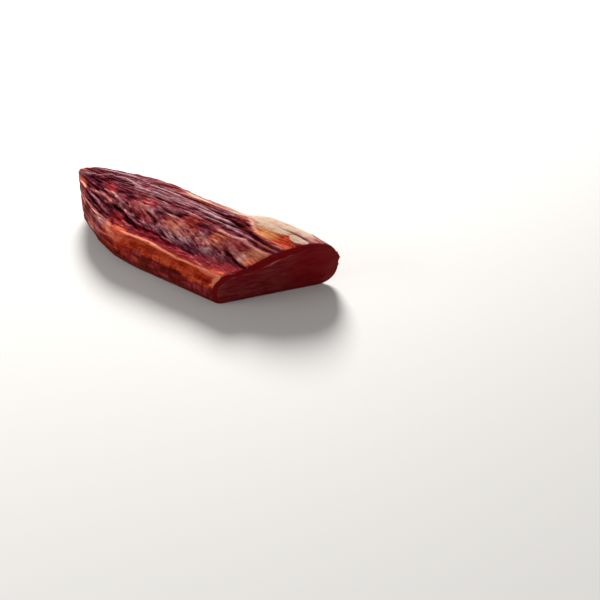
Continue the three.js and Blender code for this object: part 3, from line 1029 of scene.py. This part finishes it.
class Shader:
    """A short way to make a material from nodes."""

    def __init__(self, name):
        self.material = bpy.data.materials.new(name)
        self.material.use_nodes = True
        self.nodes = self.material.node_tree.nodes
        self.links = self.material.node_tree.links
        self.surface = self.nodes["Principled BSDF"]

    def put(self, socket, value):
        if isinstance(value, bpy.types.NodeSocket):
            self.links.new(value, socket)
        else:
            socket.default_value = value

    def fill(self, node, inputs):
        """Set a node's inputs by name, with an underscore for each space."""
        for name, value in inputs.items():
            self.put(node.inputs[name.replace("_", " ")], value)

    def node(self, kind, **inputs):
        node = self.nodes.new(kind)
        self.fill(node, inputs)
        return node

    def set(self, **inputs):
        self.fill(self.surface, inputs)

    def attribute(self, name, output="Fac"):
        node = self.nodes.new("ShaderNodeAttribute")
        node.attribute_name = name
        return node.outputs[output]

    def noise(self, vector, stretch, detail=4, roughness=0.55, distortion=0, spread=0.18):
        """Noise from 0 to 1; `stretch` is cells by the millimetre, a small spread more contrast."""
        mapping = self.node("ShaderNodeMapping", Scale=stretch, Vector=vector)
        node = self.node(
            "ShaderNodeTexNoise", Scale=1, Detail=detail, Roughness=roughness,
            Distortion=distortion, Vector=mapping.outputs["Vector"],
        )
        return self.ease(node.outputs["Fac"], 0.5 - spread, 0.5 + spread)

    def maths(self, operation, *values):
        node = self.nodes.new("ShaderNodeMath")
        node.operation = operation
        for socket, value in zip(node.inputs, values):
            self.put(socket, value)
        return node.outputs[0]

    def total(self, *terms):
        """The sum of (value, weight) pairs."""
        result = 0
        for value, weight in terms:
            result = self.maths("MULTIPLY_ADD", value, weight, result)
        return result

    def ease(self, value, low, high, to_low=0, to_high=1):
        node = self.node(
            "ShaderNodeMapRange", Value=value, From_Min=low, From_Max=high,
            To_Min=to_low, To_Max=to_high,
        )
        node.interpolation_type = "SMOOTHSTEP"
        return node.outputs["Result"]

    def ramp(self, value, colours):
        node = self.node("ShaderNodeValToRGB", Fac=value)
        stops = node.color_ramp.elements
        stops.remove(stops[1])
        for index, shade in enumerate(colours):
            place = index / (len(colours) - 1)
            stop = stops.new(place) if index else stops[0]
            stop.position = place
            stop.color = colour(*shade)
        return node.outputs["Color"]

    def mix(self, share, a, b):
        node = self.nodes.new("ShaderNodeMix")
        node.data_type = "RGBA"
        sockets = {socket.identifier: socket for socket in [*node.inputs, *node.outputs]}
        self.put(sockets["Factor_Float"], share)
        self.put(sockets["A_Color"], a)
        self.put(sockets["B_Color"], b)
        return sockets["Result_Color"]

    def bump(self, height, distance, strength):
        node = self.node("ShaderNodeBump", Strength=strength, Distance=distance, Height=height)
        return node.outputs["Normal"]


def skin_colour(s, shade_and_tone, tinted, uneven):
    """The ground, the layers over it and painted shade in the bottoms of the folds."""
    base = s.mix(tinted, s.ramp(shade_and_tone, TONES["ground"]), s.ramp(shade_and_tone, TONES["violet"]))
    for layer in COLOUR_LAYERS:
        share = s.maths("MULTIPLY", s.attribute(layer), uneven)
        base = s.mix(s.ease(share, 0.05, 0.95), base, s.ramp(shade_and_tone, TONES[layer]))
    return s.mix(s.ease(s.attribute("shade_and_tone"), 0.2, 0, 0, 0.85), base, CREASE_SHADE_COLOUR)


def skin_material():
    s = Shader("dried_skin")
    place = s.attribute("along_skin", "Vector")
    slanted_place = s.attribute("slanting_skin", "Vector")
    slant = s.attribute("slanting")

    def lines(stretch, detail):
        """Streaks that slant where the folds do."""
        straight = s.noise(place, stretch, detail)
        slanted = s.noise(slanted_place, stretch, detail)
        return s.total((straight, s.maths("SUBTRACT", 1, slant)), (slanted, slant))

    calm = s.attribute("calm")
    rough_share = s.maths("SUBTRACT", 1, calm)
    mottle = s.noise(place, (0.07, 0.2, 0.2), detail=5, distortion=0.5)
    blotches = s.noise(place, (0.24, 0.09, 0.09), detail=5, distortion=0.4, spread=0.26)
    streaks = s.total((lines((0.055, 0.8, 0.8), 5), rough_share), (blotches, calm))
    threads = lines((0.13, 2.2, 2.2), 4)
    flecks = s.noise(place, (0.4, 0.9, 0.9), roughness=0.6)

    # The tone: painted shade and highlights from the relief, the lines and the first two layers,
    # varied at random by streaks, threads, flecks and mottle
    shade_and_tone = s.total(
        (s.attribute("shade_and_tone"), 0.6), (streaks, 0.28), (threads, 0.12), (flecks, 0.16), (mottle, 0.1),
        (s.attribute("painted_highlight_and_bloom"), 0.2), (s.attribute("painted_shade_and_blotches"), -0.28), (1, -0.14),
    )
    uneven = s.total((streaks, 0.75), (mottle, 0.4), (threads, 0.25), (1, 0.3))
    tinted = s.ease(s.noise(place, (0.03, 0.12, 0.12), detail=3), 0.3, 0.9)
    height = s.total((threads, 0.6), (streaks, 0.8))
    s.set(
        Base_Color=skin_colour(s, shade_and_tone, tinted, uneven),
        Roughness=s.ease(streaks, 0, 1, 0.26, 0.42),
        Subsurface_Weight=0.06,
        Subsurface_Radius=(0.0022, 0.0008, 0.0005),
        Subsurface_Scale=1,
        Specular_IOR_Level=0.015,
        Specular_Tint=SHEEN_TINT,
        Normal=s.bump(height, 0.0005, 0.8),
    )
    return s.material


def cut_material():
    s = Shader("cut_meat")
    place = s.attribute("on_cut", "Vector")
    streaks = s.noise(place, (0.09, 0.5, 0.2), detail=6, distortion=0.6, spread=0.22)
    fine = s.noise(place, (0.7, 1.8, 1.1))
    clouds = s.noise(place, (0.06, 0.1, 0.1), detail=3)
    lean = s.total((streaks, 0.6), (fine, 0.2), (clouds, 0.3), (1, -0.2))
    base = s.mix(s.ease(lean, 0.05, 0.95), SHADED_CUT_LEAN, SHADED_CUT_GRAIN)
    wobble = s.total((fine, 0.5), (streaks, 0.5), (1, -0.5))
    for field, start, full, most, shade in CUT_COVERS:
        share = s.total((s.attribute(field), 1), (wobble, 0.5))
        base = s.mix(s.ease(share, start, full, 0, most), base, shade)
    s.set(
        Base_Color=base,
        Roughness=s.ease(fine, 0, 1, 0.34, 0.46),
        Subsurface_Weight=0.1,
        Subsurface_Radius=(0.003, 0.001, 0.0006),
        Subsurface_Scale=1,
        Specular_IOR_Level=0.03,
        Specular_Tint=SHEEN_TINT,
        Normal=s.bump(s.total((fine, 0.5), (streaks, 0.5)), 0.0004, 0.6),
    )
    return s.material


# The floor's half size in metres, its colour, and the light from all round
FLOOR_HALF = 4
FLOOR_COLOUR = (0.82, 0.81, 0.79, 1)
WORLD_STRENGTH = 0.24


def build_floor():
    corners = [(x * FLOOR_HALF, y * FLOOR_HALF, 0) for x, y in ((-1, -1), (1, -1), (1, 1), (-1, 1))]
    mesh = bpy.data.meshes.new("floor")
    mesh.from_pydata(corners, [], [(0, 1, 2, 3)])
    floor = add_object("floor", mesh)
    s = Shader("pale_floor")
    s.set(Base_Color=FLOOR_COLOUR, Roughness=0.6, Specular_IOR_Level=0.2)
    mesh.materials.append(s.material)


def aim_object(name, data, place, look):
    """A light or a camera at a place, looking along a direction."""
    thing = add_object(name, data)
    thing.location = place
    thing.rotation_mode = "QUATERNION"
    thing.rotation_quaternion = Vector(look).to_track_quat("-Z", "Y")
    return thing


def area_light(name, place, size, power, tint=(1, 1, 1)):
    """A round soft light that points at the middle of the floor."""
    data = bpy.data.lights.new(name, "AREA")
    data.shape = "DISK"
    data.size = size
    data.energy = power
    data.color = tint
    aim_object(name, data, place, -Vector(place))


def build_light():
    world = bpy.data.worlds.new("studio")
    world.use_nodes = True
    background = world.node_tree.nodes["Background"]
    background.inputs["Color"].default_value = (1, 1, 1, 1)
    background.inputs["Strength"].default_value = WORLD_STRENGTH
    bpy.context.scene.world = world
    area_light("window", place=(-0.45, 0.75, 0.75), size=0.45, power=20, tint=(1, 0.98, 0.96))
    area_light("fill", place=(-0.7, -0.6, 0.4), size=0.5, power=3.5)


# The photo's view: the camera's place in metres, the way it looks, and its lens
CAMERA_PLACE = (0.2354, -0.2651, 0.3805)
CAMERA_LOOK = (-0.2977, 0.5483, -0.7815)
LENS = 41.26
SENSOR = 36


def build_camera():
    data = bpy.data.cameras.new("camera")
    data.lens = LENS
    data.sensor_width = SENSOR
    data.clip_start = 0.01
    bpy.context.scene.camera = aim_object("camera", data, CAMERA_PLACE, CAMERA_LOOK)


bpy.context.scene.view_settings.view_transform = "Standard"
build_camera()
build_light()
build_floor()
loin = build_loin()
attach(loin, "root")
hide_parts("loin")
